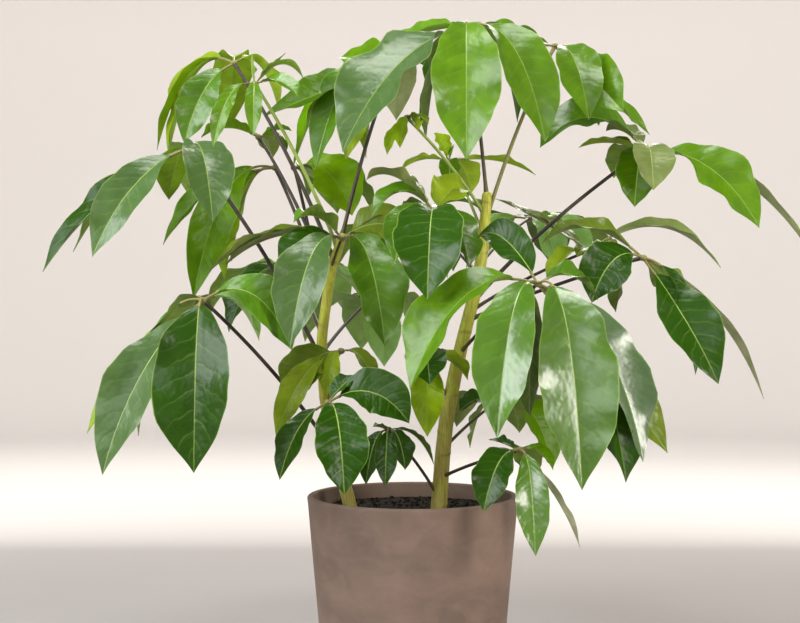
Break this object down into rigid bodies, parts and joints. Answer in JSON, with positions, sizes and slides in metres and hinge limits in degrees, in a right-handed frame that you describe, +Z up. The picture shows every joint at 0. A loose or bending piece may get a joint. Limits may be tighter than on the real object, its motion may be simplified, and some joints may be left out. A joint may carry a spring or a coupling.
{
  "type": "potted umbrella plant",
  "caption": "Umbrella plant with arching palmate leaves on two woody stems, growing in a round tapered pot of soil.",
  "frame": {"origin": "centre of the pot's underside, on the surface it stands on", "axes": "+Z up, +X to the right and +Y to the back of the plant, whose crown is widest along X"},
  "size_m": [1.106, 0.7272, 0.9643],
  "materials": {
    "pot_clay": "matt unglazed, softly clouded",
    "potting_soil": "dark loose crumb",
    "bark": "green to tan bark with leaf scars",
    "petiole_skin": "smooth dark brown",
    "leaf": "glossy leaf, paler underside",
    "young_leaf": "glossy young leaf, yellow green"
  },
  "bodies": {
    "root": {"pot": "pot_clay", "soil": "potting_soil", "stem_1": "bark", "stem_2": "bark", "petiole_01": "petiole_skin", "leaf_01": "leaf", "petiole_02": "petiole_skin", "leaf_02": "leaf", "petiole_03": "petiole_skin", "leaf_03": "leaf", "petiole_04": "petiole_skin", "leaf_04": "leaf", "petiole_05": "petiole_skin", "leaf_05": "leaf", "petiole_06": "petiole_skin", "leaf_06": "leaf", "petiole_07": "petiole_skin", "leaf_07": "leaf", "petiole_08": "petiole_skin", "leaf_08": "leaf", "petiole_09": "petiole_skin", "leaf_09": "leaf", "petiole_10": "petiole_skin", "leaf_10": "young_leaf", "petiole_11": "petiole_skin", "leaf_11": "leaf", "petiole_12": "petiole_skin", "leaf_12": "leaf", "petiole_13": "petiole_skin", "leaf_13": "leaf", "petiole_14": "petiole_skin", "leaf_14": "leaf", "petiole_15": "petiole_skin", "leaf_15": "young_leaf", "petiole_16": "petiole_skin", "leaf_16": "young_leaf", "petiole_17": "petiole_skin", "leaf_17": "leaf", "petiole_18": "petiole_skin", "leaf_18": "young_leaf", "petiole_19": "petiole_skin", "leaf_19": "leaf", "petiole_20": "petiole_skin", "leaf_20": "young_leaf", "petiole_21": "petiole_skin", "leaf_21": "leaf", "petiole_22": "petiole_skin", "leaf_22": "leaf", "petiole_23": "petiole_skin", "leaf_23": "young_leaf", "petiole_24": "petiole_skin", "leaf_24": "leaf", "petiole_25": "petiole_skin", "leaf_25": "leaf", "petiole_26": "petiole_skin", "leaf_26": "leaf", "petiole_27": "petiole_skin", "leaf_27": "leaf", "petiole_28": "petiole_skin", "leaf_28": "leaf"}
  },
  "joints": []
}
